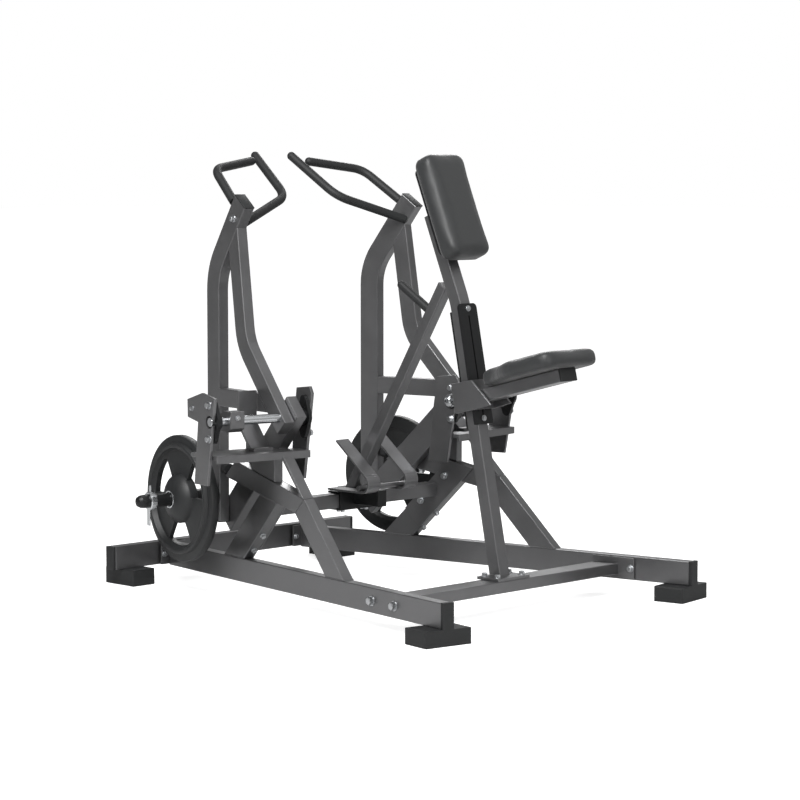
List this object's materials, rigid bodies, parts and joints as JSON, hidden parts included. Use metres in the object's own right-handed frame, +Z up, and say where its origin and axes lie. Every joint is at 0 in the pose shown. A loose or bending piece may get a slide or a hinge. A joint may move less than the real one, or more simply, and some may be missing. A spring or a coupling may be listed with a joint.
{
  "type": "t bar row",
  "caption": "Plate-loaded T bar row with a leaning chest pad, sliding seat, footrest and two independent lever arms that carry weight plates and swing on flange bearings.",
  "frame": {"origin": "on the floor, under the middle of the bounding box", "axes": "+Y the way the user faces, +X the user's right, +Z up"},
  "size_m": [1.531, 1.8233, 1.5846],
  "materials": {
    "frame_paint": "satin grey powder coat",
    "rubber": "matte moulded rubber",
    "chrome": "polished chrome plate",
    "black_iron": "black painted casting",
    "plate_coat": "rubber coated iron",
    "leatherette": "grained upholstery vinyl"
  },
  "bodies": {
    "frame": {"rear_crossbar": "frame_paint", "front_crossbar": "frame_paint", "mid_crossbar": "frame_paint", "footrest_boom": "black_iron", "foot_plate_left": "frame_paint", "foot_plate_right": "frame_paint", "foot_bar": "frame_paint", "seat_column": "frame_paint", "guide_plate": "black_iron", "height_rack": "black_iron", "chest_pad": "leatherette", "pad_board": "black_iron", "diagonal_brace": "frame_paint", "assist_grip": "rubber", "rail_left": "frame_paint", "rail_right": "frame_paint", "front_boot_left": "rubber", "front_boot_right": "rubber", "front_strut_left": "frame_paint", "front_strut_right": "frame_paint", "brace_left": "frame_paint", "brace_right": "frame_paint", "platform_left": "frame_paint", "platform_right": "frame_paint", "rear_post_left": "frame_paint", "rear_post_right": "frame_paint", "bearing_plate_outer_left": "frame_paint", "bearing_plate_outer_right": "frame_paint", "bearing_plate_inner_left": "frame_paint", "bearing_plate_inner_right": "frame_paint", "flange_bearing_outer_left": "black_iron", "flange_bearing_outer_right": "black_iron", "flange_bearing_inner_left": "black_iron", "flange_bearing_inner_right": "black_iron", "rear_foot_left": "rubber", "rear_foot_right": "rubber"},
    "seat": {"seat_carriage": "frame_paint", "seat_tube": "frame_paint", "seat_pad": "leatherette"},
    "seat_pin": {"seat_pin": "chrome"},
    "arm_left": {"pivot_shaft_left": "chrome", "arm_front_tube_left": "frame_paint", "arm_rear_tube_left": "frame_paint", "arm_lever_left": "frame_paint", "arm_cross_tube_left": "frame_paint", "back_grip_left": "rubber", "in_grip_left": "rubber", "weight_horn_left": "black_iron"},
    "plate_left": {"weight_plate_left": "plate_coat"},
    "collar_left": {"horn_collar_left": "chrome"},
    "arm_right": {"pivot_shaft_right": "chrome", "arm_front_tube_right": "frame_paint", "arm_rear_tube_right": "frame_paint", "arm_lever_right": "frame_paint", "arm_cross_tube_right": "frame_paint", "back_grip_right": "rubber", "in_grip_right": "rubber", "weight_horn_right": "black_iron"},
    "plate_right": {"weight_plate_right": "plate_coat"},
    "collar_right": {"horn_collar_right": "chrome"}
  },
  "joints": [
    {"name": "arm_left_hinge", "type": "hinge", "parent": "frame", "child": "arm_left", "pos_m": [-0.46437, 0.05408, 0.66], "axis": [0.9851, -0.1719, 0], "range_deg": [0, 40]},
    {"name": "plate_left_slide", "type": "slide", "parent": "arm_left", "child": "plate_left", "axis": [-0.9851, 0.1719, 0], "range_m": [0, 0.06]},
    {"name": "collar_left_slide", "type": "slide", "parent": "arm_left", "child": "collar_left", "axis": [-0.9851, 0.1719, 0], "range_m": [-0.05, 0.01]},
    {"name": "arm_right_hinge", "type": "hinge", "parent": "frame", "child": "arm_right", "pos_m": [0.46437, 0.05408, 0.66], "axis": [0.9851, 0.1719, 0], "range_deg": [0, 40]},
    {"name": "plate_right_slide", "type": "slide", "parent": "arm_right", "child": "plate_right", "axis": [0.9851, 0.1719, 0], "range_m": [0, 0.06]},
    {"name": "collar_right_slide", "type": "slide", "parent": "arm_right", "child": "collar_right", "axis": [0.9851, 0.1719, 0], "range_m": [-0.05, 0.01]},
    {"name": "seat_slide", "type": "slide", "parent": "frame", "child": "seat", "axis": [0, 0.1994, 0.9799], "range_m": [-0.03, 0.18]},
    {"name": "seat_pin_pull", "type": "slide", "parent": "seat", "child": "seat_pin", "axis": [0, 0.9799, -0.1994], "range_m": [0, 0.012], "stiffness_N_per_m": 1500, "springref_m": -0.006}
  ]
}
